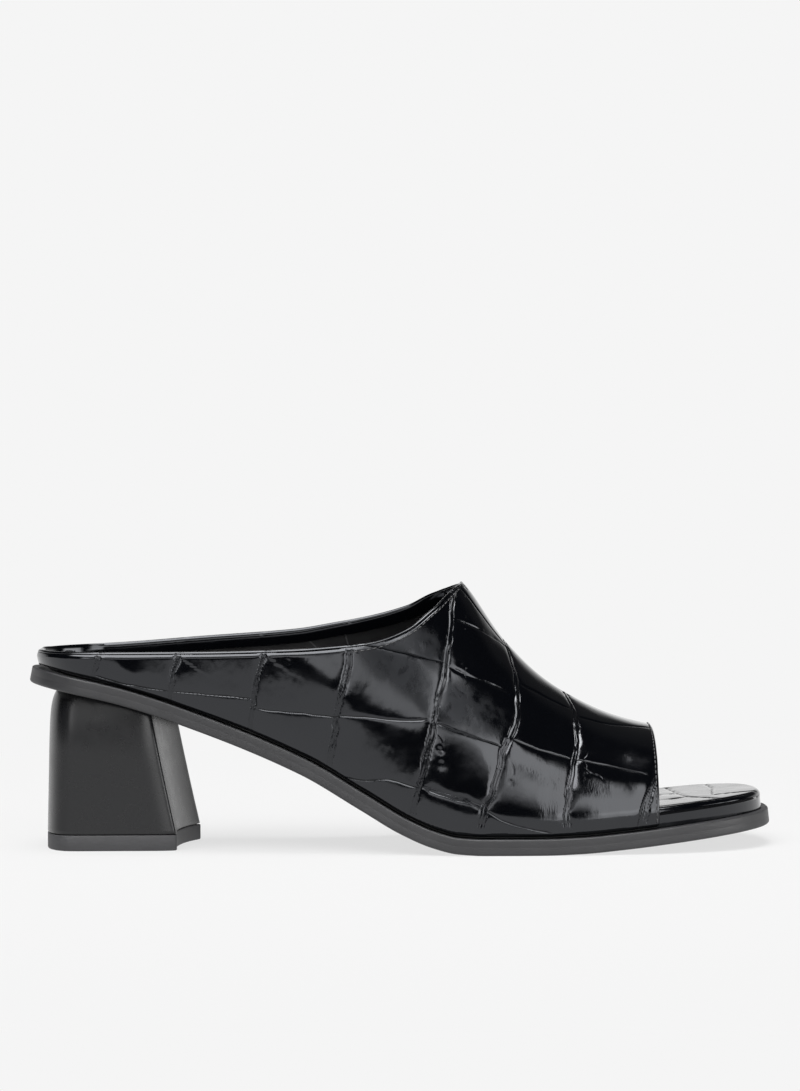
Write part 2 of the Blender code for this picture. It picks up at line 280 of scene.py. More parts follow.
def blend_colour(tree, factor, first, second):
    node = tree.nodes.new("ShaderNodeMix")
    node.data_type = "RGBA"
    node.inputs["A"].default_value = (*first, 1.0)
    node.inputs["B"].default_value = (*second, 1.0)
    link(tree, factor, node.inputs["Factor"])
    return node.outputs["Result"]


def fair(stations, values):
    """A smooth curve through given values that never overshoots them, read by station."""
    stations, values = np.asarray(stations, float), np.asarray(values, float)
    step = np.diff(values) / np.diff(stations)
    steady = step[:-1] * step[1:] > 0
    total = np.where(steady, step[:-1] + step[1:], 1.0)
    slope = np.concatenate(([step[0]], np.where(steady, 2 * step[:-1] * step[1:] / total, 0.0),
                            [step[-1]]))

    def at(station):
        station = np.clip(station, stations[0], stations[-1])
        k = np.clip(np.searchsorted(stations, station) - 1, 0, len(stations) - 2)
        span = stations[k + 1] - stations[k]
        t = (station - stations[k]) / span
        return (values[k] * (1 + 2 * t) * (1 - t) ** 2 + values[k + 1] * t * t * (3 - 2 * t)
                + span * slope[k] * t * (1 - t) ** 2 - span * slope[k + 1] * t * t * (1 - t))
    return at


sole_stations = LENGTH * np.array([0, .043, .124, .240, .368, .446, .500, .543, .576, .612, .690,
                                   .740, .800, .860, 1])
sole_axis = fair(sole_stations, BALL_WIDTH * np.array(
    [0, 0, 0, -.012, -.036, -.042, -.040, -.034, -.028, -.021, 0, .010, .022, .032, .055]))
sole_half = fair(sole_stations, BALL_WIDTH * np.array(
    [.312, .316, .318, .318, .326, .366, .408, .444, .466, .481, .500, .500, .490, .472, .415]))
sole_seat = fair(sole_stations, SEAT_HEIGHT * np.array(
    [1, .962, .881, .706, .464, .262, .122, .042, .008, 0, 0, 0, 0, 0, 0]))
sole_spring = fair(sole_stations, TOE_SPRING * np.array(
    [0, 0, 0, 0, 0, 0, 0, 0, 0, 0, 0, .06, .24, .47, 1]))


def end_round(distance, depth, fullness):
    """Share of the full width at a distance from a rounded end."""
    short = 1 - np.clip(distance / depth, 0.0, 1.0)
    return (1 - short ** fullness) ** (1 / fullness)


def outline(station, side, inset, heel_inset, toe_inset):
    """How far across the bottom's edge lies; side is -1 outer, 1 inner."""
    toe_depth = np.where(side < 0, 48.0, 27.0)
    heel = end_round(station - heel_inset, 25.0, 2.1)
    toe = end_round(LENGTH - toe_inset - station, toe_depth, 2.5)
    return sole_axis(station) + side * (sole_half(station) - inset) * heel * toe


def underside(station):
    return sole_seat(station) + sole_spring(station)


def incline(station):
    station = np.clip(station, 0.5, LENGTH - 0.5)
    return underside(station + 0.5) - underside(station - 0.5)


def off_sole(station, across, height):
    """Points a height off the sole's underside, square to it."""
    slope = incline(station)
    length = np.hypot(1, slope)
    return np.stack([station - height * slope / length, across + 0 * station,
                     underside(station) + height / length], -1)


HEEL_CENTRE = 30.85


def placed(points):
    """Shoe millimetres, with stations along x, as metres in the shoe's frame."""
    return (points - np.array([HEEL_CENTRE, 0.0, 0.0])) * MM


def add_mesh(name, points, faces, made):
    """A smooth mesh from points in shoe millimetres."""
    mesh = bpy.data.meshes.new(name)
    mesh.from_pydata(placed(points).tolist(), [], faces)
    mesh.shade_smooth()
    mesh.materials.append(made)
    piece = bpy.data.objects.new(name, mesh)
    bpy.context.scene.collection.objects.link(piece)
    return piece


def normals(points, faces):
    """Outward normal at each point of a mesh."""
    mesh = bpy.data.meshes.new("draft")
    mesh.from_pydata(points.tolist(), [], faces)
    found = np.empty(len(points) * 3)
    mesh.vertex_normals.foreach_get("vector", found)
    bpy.data.meshes.remove(mesh)
    return found.reshape(-1, 3)


def quads(index):
    """Faces between neighbouring rows and columns of a grid of point numbers."""
    a, b, c, d = index[:-1, :-1], index[:-1, 1:], index[1:, 1:], index[1:, :-1]
    faces = np.stack([a, b, c, d], -1).reshape(-1, 4)
    return faces.tolist()


def buffed_rubber():
    made, tree, shader = finish("buffed_rubber", (0.03, 0.03, 0.031), 0.5)
    tone = noise(tree, 9.0, 3.0)
    link(tree, blend_colour(tree, tone, (0.018, 0.018, 0.0195), (0.032, 0.032, 0.034)),
         shader.inputs["Base Color"])
    link(tree, ramp(tree, tone, 0.2, 0.8, 0.42, 0.56), shader.inputs["Roughness"])
    emboss(tree, shader, noise(tree, 0.35), 0.05, 0.6)
    return made


def build_outsole():
    """Layers of the sole's outline, drawn in where its edges are rounded, with flat faces."""
    stations = 0.5 * (LENGTH - 0.01) * (1 - np.cos(np.linspace(0, 1, 301) * math.pi)) + 0.005
    turn = np.linspace(0, math.pi / 2, 6)
    low_round, top_round = 0.9, 0.5
    profile = [(low_round * (1 - math.sin(t)), low_round * (1 - math.cos(t))) for t in turn]
    profile += [(0.0, 2.7), (0.025, 2.85), (0.0, 3.0)]
    profile += [(top_round * (1 - math.cos(t)), SOLE_THICKNESS - top_round * (1 - math.sin(t)))
                for t in turn]
    rings = []
    for inset, height in profile:
        along = inset + stations * (LENGTH - 2 * inset) / LENGTH
        sides = [off_sole(along, outline(along, side, inset, inset, inset), height)
                 for side in (-1, 1)]
        rings.append(np.vstack([sides[0], sides[1][::-1], sides[0][:1]]))
    rings = np.array(rings)
    rows, columns = rings.shape[:2]
    index = np.arange(rows * columns).reshape(rows, columns)
    index[:, -1] = index[:, 0]
    n = len(stations)
    faces = [face[::-1] for face in quads(index)]
    for row, flipped in ((0, False), (rows - 1, True)):
        caps = quads(np.stack([index[row, :n], index[row, n:2 * n][::-1]]))
        faces += [face[::-1] for face in caps] if flipped else caps
    piece = add_mesh("sole_sheet", rings.reshape(-1, 3), faces, buffed_rubber())
    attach(piece, "root")
    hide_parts("outsole")


build_outsole()


# Heel block
# A moulded heel under the seat, sprayed with satin black lacquer, with rounded back corners
# and a hollowed breast.
LIFT_THICKNESS = 5.4


def heel_plan(share):
    """Outline of the heel at a share of its height, as a closed ring of station and across."""
    back = 6.2 + 1.2 * share + 2.6 * share ** 12
    front = 55.5 - 8.5 * share
    half = 21.5 + share
    across = np.sin(np.linspace(-0.5, 0.5, 110) * math.pi)
    corner = 11.0 * (1 - end_round(1 - np.abs(across), 1.0, 2.4))
    breast = front + 3.2 * across - 3.0 * (1 - across ** 2)
    start = np.stack([back + corner, across * half], -1)
    end = np.stack([breast, across * half], -1)
    steps = np.linspace(0, 1, 60)[1:-1, None]
    ring = np.vstack([start, start[-1] + (end[-1] - start[-1]) * steps, end[::-1],
                      end[0] + (start[0] - end[0]) * steps])
    from_breast = front + 3.2 * np.sign(ring[:, 1]) - ring[:, 0]
    ring[:, 1] *= 1 - 1.5 / half * np.clip(1 - from_breast / 8.5, 0, 1) ** 2.4
    return ring


def eased_ring(ring, reach):
    """A closed ring with its corners rounded over about a reach in millimetres."""
    closed = np.vstack([ring, ring[:1]])
    run = np.concatenate(([0], np.cumsum(np.linalg.norm(np.diff(closed, axis=0), axis=1))))
    even = np.linspace(0, run[-1], 481)[:-1]
    ring = np.stack([np.interp(even, run, closed[:, k]) for k in range(ring.shape[1])], -1)
    span = int(round(reach / even[1]))
    for _ in range(2):
        ring = sum(np.roll(ring, k, 0) for k in range(-span, span + 1)) / (2 * span + 1)
    return ring


def drawn_in(ring, depth):
    """A ring of the heel drawn in to its middle by about a depth in millimetres."""
    middle, half_width = ring.mean(0), 22
    return middle + (ring - middle) * (1 - depth / half_width)


def stacked(name, rings, made, slot):
    """A closed piece from rings of points, low to high, with a fan over each end."""
    rings = np.array(rings)
    rows, columns = rings.shape[:2]
    index = np.arange(rows * columns).reshape(rows, columns)
    index = np.hstack([index, index[:, :1]])
    points = np.vstack([rings.reshape(-1, 3), rings[0].mean(0), rings[-1].mean(0)])
    faces = [face[::-1] for face in quads(index)]
    low, high = len(points) - 2, len(points) - 1
    faces += [(low, b, a) for a, b in zip(index[0], index[0][1:])]
    faces += [(high, a, b) for a, b in zip(index[-1], index[-1][1:])]
    piece = add_mesh(name, points, faces, made)
    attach(piece, "root")
    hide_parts(slot)


def satin_lacquer():
    made, tree, shader = finish("satin_lacquer", (0.0055, 0.0057, 0.0066), 0.28)
    link(tree, ramp(tree, noise(tree, 6.0), 0.25, 0.75, 0.25, 0.31), shader.inputs["Roughness"])
    emboss(tree, shader, noise(tree, 1.1), 0.02, 0.5)
    return made


def build_heel():
    """Rings up to the sole, which the top ring follows, close together near both ends."""
    levels = [(0.0, 0.35), (0.002, 0.12)]
    levels += [(share, 0.0) for share in (0.008, *np.linspace(0.03, 0.7, 24),
                                          *np.linspace(0.72, 0.985, 22))]
    levels += [(0.993, 0.12), (1.0, 0.4)]
    rings = []
    foot = LIFT_THICKNESS + CLEARANCE
    for share, depth in levels:
        ring = drawn_in(eased_ring(heel_plan(share), 1.0), depth)
        below_seat = 50.0 * (1 - share)
        to_back = np.clip((48 - ring[:, 0]) / 24, 0, 1)
        ring[:, 1] *= 1 - 0.125 * to_back * np.clip(1 - below_seat / 20, 0, 1) ** 1.7
        level = foot + (underside(ring[:, 0]) - CLEARANCE - foot) * share
        rings.append(np.column_stack([ring, level]))
    stacked("heel_body", rings, satin_lacquer(), "heel_block")


build_heel()


# Top piece
# The lift: a flat plate of hard rubber, cut to the heel's outline and nailed under it, matt and
# a little greyer than the lacquered heel.
def lift_rubber():
    made, tree, shader = finish("lift_rubber", (0.05, 0.05, 0.052), 0.6)
    scuff = noise(tree, 2.2, 4.0, (1.0, 1.0, 0.33))
    link(tree, blend_colour(tree, scuff, (0.030, 0.030, 0.032), (0.050, 0.050, 0.053)),
         shader.inputs["Base Color"])
    emboss(tree, shader, noise(tree, 0.3), 0.04, 0.6)
    return made


def build_lift():
    plan = eased_ring(heel_plan(0.0), 0.8)
    top = LIFT_THICKNESS
    levels = [(0.0, 0.5), (0.12, 0.15), (0.4, 0.0), (2.7, 0.0), (top - 0.3, 0.0),
              (top - 0.08, 0.1), (top, 0.35)]
    rings = [np.column_stack([drawn_in(plan, depth), np.full(len(plan), level)])
             for level, depth in levels]
    stacked("heel_lift", rings, lift_rubber(), "top_piece")


build_lift()


# Insole
# A padded sock of the same embossed leather, pulled over a board and lasted under its edge,
# so the edge is round and the leather is pleated where it turns the toe.
INSOLE_INSET = 3.9
INSOLE_HEEL_INSET = 5.4
INSOLE_TOE_MARGIN = 2.2
INSOLE_ROUND = 1.8
insole_pad = fair(sole_stations, 3.5 + 3.3 * np.array(
    [0, 0, 0, .1, .4, .7, .9, 1, 1, 1, 1, 1, 1, 1, .85]))


def lumps(points, size, seed):
    """Smooth lumps about size millimetres across, from -1 to 1, the same at every run."""
    cell = points / size
    base = np.floor(cell)
    part = cell - base
    part = part * part * (3 - 2 * part)
    total = np.zeros(points.shape[:-1])
    for corner in np.ndindex(*(2,) * points.shape[-1]):
        node = base + corner
        key = node @ np.array([127.1, 311.7, 74.7][:points.shape[-1]]) + 19.3 * seed
        value = np.modf(np.abs(np.sin(key) * 43758.5453))[0] * 2 - 1
        weight = np.prod(np.where(np.array(corner) == 1, part, 1 - part), -1)
        total += value * weight
    return total


def through(marks, step=0.6):
    """A smooth path through given marks, in steps of about a length in millimetres."""
    marks = np.asarray(marks, float)
    ends = np.vstack([2 * marks[0] - marks[1], marks, 2 * marks[-1] - marks[-2]])
    path = [marks[:1]]
    for a, b, c, d in zip(ends, ends[1:], ends[2:], ends[3:]):
        count = max(2, int(math.dist(b, c) / step))
        t = (np.arange(count) + 1)[:, None] / count
        path.append(0.5 * (2 * b + (c - a) * t + (2 * a - 5 * b + 4 * c - d) * t ** 2
                           + (3 * b - a - 3 * c + d) * t ** 3))
    return np.vstack(path)


def nearest(points, path):
    """For each point, a path's nearest place: its distance, its length along, foot and way."""
    start, way = path[:-1], np.diff(path, axis=0)
    long = np.maximum((way ** 2).sum(-1), 1e-12)
    run = np.concatenate(([0.0], np.cumsum(np.sqrt(long))))
    number, part = np.empty(len(points), int), np.empty(len(points))
    for first in range(0, len(points), 4000):
        some = points[first:first + 4000, None, :] - start[None]
        t = np.clip((some * way).sum(-1) / long, 0, 1)
        best = ((some - t[..., None] * way) ** 2).sum(-1).argmin(1)
        number[first:first + 4000] = best
        part[first:first + 4000] = t[np.arange(len(best)), best]
    foot = start[number] + part[:, None] * way[number]
    along = run[number] + part * np.sqrt(long[number])
    return np.linalg.norm(points - foot, axis=-1), along, run[-1], foot, way[number]


def pressed(points, out, creases):
    """Height of the emboss at points, and at each how much rougher the leather is, with its
    reflection turned down as painted shade.

    A crease is a path and its kind, in millimetres: a shallow valley with a wrinkled crest in it,
    a cut along each side, a lip on one, and the scales beside it, rolled down and domed.
    """
    reach, end_fade, dome_width = 18.0, 3.0, 6.0
    hollow, raised, roll, dome, dull_and_shade = np.zeros((5, len(points)))
    for number, (path, kind) in enumerate(creases):
        near = ((points > path.min(0) - reach) & (points < path.max(0) + reach)).all(-1)
        distance, along, total, foot, way = nearest(points[near], path)
        right = np.sign((np.cross(way, out[near]) * (points[near] - foot)).sum(-1))
        fade = np.clip(np.minimum(along, total - along) / end_fade + 0.3, 0, 1)
        run = np.stack([along, 0 * along + 7.0 * number], -1)
        shift = kind["gap"] * 0.25 * lumps(run, 5.0, 1) + kind["gap"] * 0.15 * lumps(run, 1.8, 2)
        across = right * distance + shift
        spread = np.abs(across) * (1 + 0.25 * lumps(run, 2.5, 3))
        cut = kind["cut"] * np.exp(-((spread - kind["gap"]) / kind["cut_width"]) ** 2)
        cut *= 1 + 0.5 * lumps(run + right[:, None] * 40, 2.0, 4)
        valley = kind["valley"] * np.exp(-(spread / kind["width"]) ** 2)
        hollow[near] = np.maximum(hollow[near], fade * (cut + valley))
        # Painted shade in the cut and valley: this mark makes the leather rougher there and turns
        # its reflection down.
        dull_and_shade[near] = np.maximum(dull_and_shade[near], kind["dull_and_shade"] * fade * (cut + valley) / 0.4)
        fold = np.stack([along, across], -1) / (4.5, 0.36)
        wrinkle = 0.55 + 0.9 * lumps(fold, 1.0, number + 50) + 0.35 * lumps(fold * 2.1, 1.0, number)
        crest = kind["crest"] * wrinkle * np.exp(-(spread / (0.85 * kind["gap"])) ** 2)
        lean = across / kind["gap"] - 0.25 - 0.25 * lumps(run, 6.0, 5)
        lip = np.exp(-(lean / np.where(lean > 0, 0.45, 0.80)) ** 2)
        crest = fade * (crest + kind["lip"] * lip * (0.75 + 0.5 * lumps(run, 4.0, 6)))
        raised[near] = np.where(np.abs(crest) > np.abs(raised[near]), crest, raised[near])
        roll[near] += (kind["roll"] * fade * np.exp(-distance / kind["roll_width"])) ** 3
        dome[near] += (kind["dome"] * fade * np.exp(-distance / dome_width)) ** 3
    height = raised - hollow - roll ** (1 / 3) - dome ** (1 / 3)
    return height, np.clip(dull_and_shade, 0, 1)


def mark(piece, name, values):
    """Keep one value for each point of a piece, for its material to read."""
    layer = piece.data.attributes.new(name, "FLOAT", "POINT")
    layer.data.foreach_set("value", np.asarray(values, np.float32))


def glossy_leather():
    """Black aniline leather plated to a gloss; rougher in the creases, with its reflection turned
    down there as painted shade, and duller in bloomed patches.
    """
    made, tree, shader = finish("embossed_leather", (0.0012, 0.0014, 0.0020), 0.10)
    shader.inputs["Specular Tint"].default_value = (0.90, 0.93, 1.0, 1.0)

    def kept(name):
        node = tree.nodes.new("ShaderNodeAttribute")
        node.attribute_name = name
        return node.outputs["Fac"]

    # The creases' mark: rougher leather there, and painted shade from a lowered specular level.
    dull_and_shade, bloom = kept("dull_and_shade"), kept("bloom")
    mottle = ramp(tree, noise(tree, 3.0, 5.0, (1.0, 1.0, 1.8)), 0.30, 0.62, 0.08, 0.40)
    rough = ramp(tree, noise(tree, 7.0, 4.0), 0.35, 0.8, 0.07, 0.15)
    rough = arithmetic(tree, "MULTIPLY_ADD", dull_and_shade, 0.20, rough)
    rough = arithmetic(tree, "MULTIPLY_ADD", bloom, mottle, rough)
    link(tree, rough, shader.inputs["Roughness"])
    # Painted shade: the specular level is lowered in the creases so they read dark; it is lowered a
    # little in bloomed patches too.
    mirror = arithmetic(tree, "MULTIPLY_ADD", arithmetic(tree, "MULTIPLY", dull_and_shade, dull_and_shade), -0.44, 0.5)
    mirror = arithmetic(tree, "MULTIPLY_ADD", bloom, -0.20, mirror)
    link(tree, mirror, shader.inputs["Specular IOR Level"])
    link(tree, arithmetic(tree, "MULTIPLY_ADD", bloom, -0.30, 0.30), shader.inputs["Coat Weight"])
    shader.inputs["Coat Roughness"].default_value = 0.06
    brushed = arithmetic(tree, "MULTIPLY", noise(tree, 0.55, 2.0, (1.0, 1.0, 7.0)),
                         ramp(tree, noise(tree, 9.0, 2.0), 0.38, 0.60))
    pores = noise(tree, 0.40)
    waves = noise(tree, 6.0, 2.0, (1.0, 1.0, 1.6))
    height = arithmetic(tree, "MULTIPLY_ADD", brushed, 0.20,
                        arithmetic(tree, "MULTIPLY", pores, 0.035))
    height = arithmetic(tree, "MULTIPLY_ADD", waves, 0.6, height)
    emboss(tree, shader, height, 0.10, 1.0, coat=True)
    return made


leather = glossy_leather()


def build_insole():
    """The padded sock: its top as a grid of stations, with the side wall round it."""
    ball, toe = 205, LENGTH - INSOLE_TOE_MARGIN - 0.05
    to_toe = np.sin(np.linspace(0, 0.5, 101)[1:] * math.pi)
    stations = np.concatenate([np.linspace(INSOLE_HEEL_INSET + 0.05, ball, 110),
                               ball + (toe - ball) * to_toe])
    turn = np.sin(np.linspace(-0.5, 0.5, 71) * math.pi)
    outer, inner = [outline(stations, side, INSOLE_INSET, INSOLE_HEEL_INSET, INSOLE_TOE_MARGIN)
                    for side in (-1, 1)]
    across = (outer + inner)[:, None] / 2 + (inner - outer)[:, None] / 2 * turn
    along = stations[:, None] + 0 * across
    rim_along = np.concatenate([stations, stations[::-1]])
    rim = np.stack([rim_along, np.concatenate([outer, inner[::-1]])], -1)
    rim = np.vstack([rim, rim[:1]])
    plan = np.stack([along, across], -1).reshape(-1, 2)
    inward = nearest(plan, rim)[0].reshape(along.shape)
    short = np.clip(1 - inward / INSOLE_ROUND, 0, 1)
    drop = INSOLE_ROUND * (1 - np.sqrt(1 - short ** 2))
    base = SOLE_THICKNESS + CLEARANCE
    top = off_sole(along, across, base + insole_pad(along) - drop).reshape(-1, 3)
    count = np.arange(top.shape[0]).reshape(along.shape)
    border = np.concatenate([count[:, 0], count[-1, 1:-1], count[::-1, -1], count[0, -2:0:-1]])
    edge_along, edge_across = along.reshape(-1)[border], across.reshape(-1)[border]
    walls = []
    for share in (0.75, 0.5, 0.25, 0.0):
        pulled = 0.7 * (1 - share) ** 1.5
        walls.append(off_sole(edge_along, edge_across * (1 - pulled / 40),
                              base + (insole_pad(edge_along) - INSOLE_ROUND) * share))
    points = np.vstack([top] + walls)
    rings = np.vstack([border, np.arange(len(top), len(points)).reshape(len(walls), -1)])
    rings = np.hstack([rings, rings[:, :1]])
    faces = [face[::-1] for face in quads(count)] + quads(rings)
    out = normals(points, faces)

    def on_top(marks):
        path = through(marks)
        return off_sole(path[:, 0], path[:, 1], base + insole_pad(path[:, 0]))

    pressed_lines = [
        [(226, 36), (227.5, 20), (229, 4), (231, -6), (235, -13), (239, -21), (243, -25),
         (247, -30)],
        [(205, -13), (220, -9.5), (230.5, -6)],
        [(205, -31), (218, -30), (235.5, -26), (240, -24)],
        [(233, -9.5), (241, -7.5), (251, -7), (256, -7)],
        [(240.5, -24), (247, -18), (252, -13), (256, -11)],
        [(205, 14), (216, 12), (228, 10)],
        [(240, 36), (241, 20), (240, 6), (239, -8)],
        [(205, -36), (206, -20), (205, -4), (204, 12), (206, 34)],
    ]
    line = dict(cut=0.05, gap=0.10, cut_width=0.20, valley=0.30, width=0.34, crest=0.02, lip=0.0,
                roll=0.16, roll_width=0.9, dome=0.05, dull_and_shade=1.1)
    creases = [(on_top(marks), line) for marks in pressed_lines]
    height, dull_and_shade = pressed(points, out, creases)
    height += 0.10 * lumps(points, 14.0, 3)
    points = points + out * height[:, None]
    piece = add_mesh("insole_sock", points, faces, leather)
    # Keeps the creases' roughness and painted shade for the leather's material.
    mark(piece, "dull_and_shade", dull_and_shade)
    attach(piece, "root")
    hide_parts("insole")


build_insole()


# Upper
# One piece of calf, plated with large square scales, lasted over the foot form and glued under
# the insole. Its collar and toe edges are folded and stitched, and it is lined in black.
WALL = 1.7
SOLE_MARGIN = 1.0
SOLE_MARGIN_BACK = 2.5
INSTEP_RISE = 85.0
TOE_RISE = 32.4
PEAK = 0.587 * LENGTH
TOE_OPENING = 0.842 * LENGTH
last_stations = LENGTH * np.array([0, .100, .229, .360, .411, .461, .512, .550, .587, .640,
                                   .690, .740, .787, .842, 1])
crown = fair(last_stations, TOE_RISE + (INSTEP_RISE - TOE_RISE) * np.array(
    [.92, .95, 1.05, 1.20, 1.27, 1.30, 1.25, 1.14, 1, .64, .39, .225, .10, 0, -.20]))
fullness = fair(last_stations, [2.6, 2.6, 2.5, 2.3, 2.2, 2.1, 2.0, 1.9, 1.85, 1.9, 2.0, 2.1, 2.2,
                                2.3, 2.3])
collar_outer = fair(last_stations, [0, 0, .005, .045, .090, .160, .370, .700] + [1] * 7)
collar_inner = fair(last_stations, [0, .040, .150, .270, .370, .480, .650, .870] + [1] * 7)
ridge_shift = fair(last_stations, 4.0 * np.array([0, 0, .2, .6, .8] + [1] * 10))


def over_sole(station, height):
    return underside(station) + height * np.hypot(1, incline(station))


def upper_foot(station):
    return over_sole(station, SOLE_THICKNESS + CLEARANCE)


def on_last(station, side, turn):
    """Point of the upper's outer face; turn goes from 0 at the sole to a right angle on top."""
    share = np.sin(turn)
    rise = share * crown(station)
    full = fullness(station)
    narrowing = (1 - share ** full) ** (1 / full)
    tuck = 0.9 * np.maximum(0, 1 - rise / 9.0) ** 2
    edge = outline(station, side, SOLE_MARGIN + tuck, SOLE_MARGIN_BACK + tuck, SOLE_MARGIN + tuck)
    middle = sole_axis(station) + ridge_shift(station)
    lean = 0.7 * np.maximum(0, 1 - station / 25.0) * np.minimum(rise / 5.4, 1)
    return np.stack([station - lean + 0 * share, middle + (edge - middle) * narrowing,
                     upper_foot(station) + rise], -1)


def top_turn(station, side):
    """Where a section ends: at the collar behind the peak, on the ridge before it."""
    back = over_sole(0.0, SOLE_THICKNESS) + 5.4
    peak = upper_foot(PEAK) + crown(PEAK)
    share = np.where(side < 0, collar_outer(station), collar_inner(station))
    reach = (back + share * (peak - back) - upper_foot(station)) / crown(station)
    return np.where(station < PEAK - 1e-6, np.arcsin(np.clip(reach, 0, 1)), math.pi / 2)


EDGE_ROUND = WALL / 2
BACK_START = SOLE_MARGIN_BACK + 0.9 + 0.05
TOE_END = TOE_OPENING - EDGE_ROUND
sections = np.linspace(BACK_START, TOE_OPENING, 640)
shares = np.linspace(0, 1, 161)


def measure(side):
    """For each section, the leather's length up it, and the turn at each share of that."""
    fine = np.linspace(0, math.pi / 2, 241)
    line = on_last(sections[:, None], side, fine[None] + 0 * sections[:, None])
    arc = np.concatenate([np.zeros((len(sections), 1)),
                          np.cumsum(np.linalg.norm(np.diff(line, axis=1), axis=2), 1)], 1)
    end = [np.interp(stop, fine, row) for stop, row in zip(top_turn(sections, side), arc)]
    end = np.where(sections < PEAK, np.array(end) - EDGE_ROUND, end)
    turn = [np.interp(shares * length, row, fine) for length, row in zip(end, arc)]
    return end, np.array(turn)


measured = {-1: measure(-1), 1: measure(1)}


def measured_length(station, side):
    """The leather's length up a section, from the sole to its edge or the ridge."""
    return np.interp(station, sections, measured[side][0])


def skin_point(station, side, share):
    """A point of the upper's outer face at a share of the way up the leather."""
    station, share = np.broadcast_arrays(station, share)
    found = np.empty(station.shape + (3,))
    for one in (-1, 1):
        here = np.broadcast_to(side, station.shape) == one
        turn = measured[one][1]
        row = (station[here] - sections[0]) / (sections[1] - sections[0])
        row = np.clip(row, 0, len(sections) - 1.001)
        column = share[here] * (len(shares) - 1.001)
        i, k = row.astype(int), column.astype(int)
        f, g = row - i, column - k
        mixed = ((turn[i, k] * (1 - g) + turn[i, k + 1] * g) * (1 - f)
                 + (turn[i + 1, k] * (1 - g) + turn[i + 1, k + 1] * g) * f)
        found[here] = on_last(station[here], one, np.clip(mixed, 0, math.pi / 2))
    return found


def leather_path(side, marks):
    """A crease on the upper from marks of station and distance up the leather."""
    path = through(marks, 0.5)
    path = path + 0.15 * np.stack([lumps(path, 4.0, 7), lumps(path, 4.0, 8)], -1)
    station = np.clip(path[:, 0], BACK_START, TOE_OPENING)
    share = np.clip(path[:, 1] / measured_length(station, side), 0, 1)
    return skin_point(station, side, share)


# Kinds of crease: how deep the cuts are, their gap from the middle and their width; the valley,
# the crest and the lip; how the scales roll down and dome beside it; how rough the leather is
# there and how much painted shade darkens it.
BROAD = dict(cut=0.16, gap=0.95, cut_width=0.17, valley=0.15, width=1.35, crest=0.12, lip=0.05,
             roll=0.26, roll_width=1.6, dome=0.06, dull_and_shade=0.8)
LIPPED = dict(BROAD, gap=0.85, crest=0.07, lip=0.46, valley=0.20)
SOFT = dict(cut=0.05, gap=0.20, cut_width=0.15, valley=0.27, width=0.62, crest=0.02, lip=0.0,
            roll=0.05, roll_width=0.8, dome=0.02, dull_and_shade=0.3)
MIDDLE = dict(cut=0.14, gap=0.62, cut_width=0.15, valley=0.12, width=0.95, crest=0.08, lip=0.03,
              roll=0.20, roll_width=1.4, dome=0.05, dull_and_shade=1.0)
DEEP = dict(MIDDLE, roll=0.34, roll_width=2.2, dome=0.14)
FINE = dict(cut=0.06, gap=0.14, cut_width=0.14, valley=0.15, width=0.21, crest=0.02, lip=0.0,
            roll=0.10, roll_width=0.7, dome=0.03, dull_and_shade=2.4)
FAINT = dict(cut=0.02, gap=0.10, cut_width=0.15, valley=0.06, width=0.26, crest=0.01, lip=0.0,
             roll=0.03, roll_width=0.6, dome=0.01, dull_and_shade=1.0)
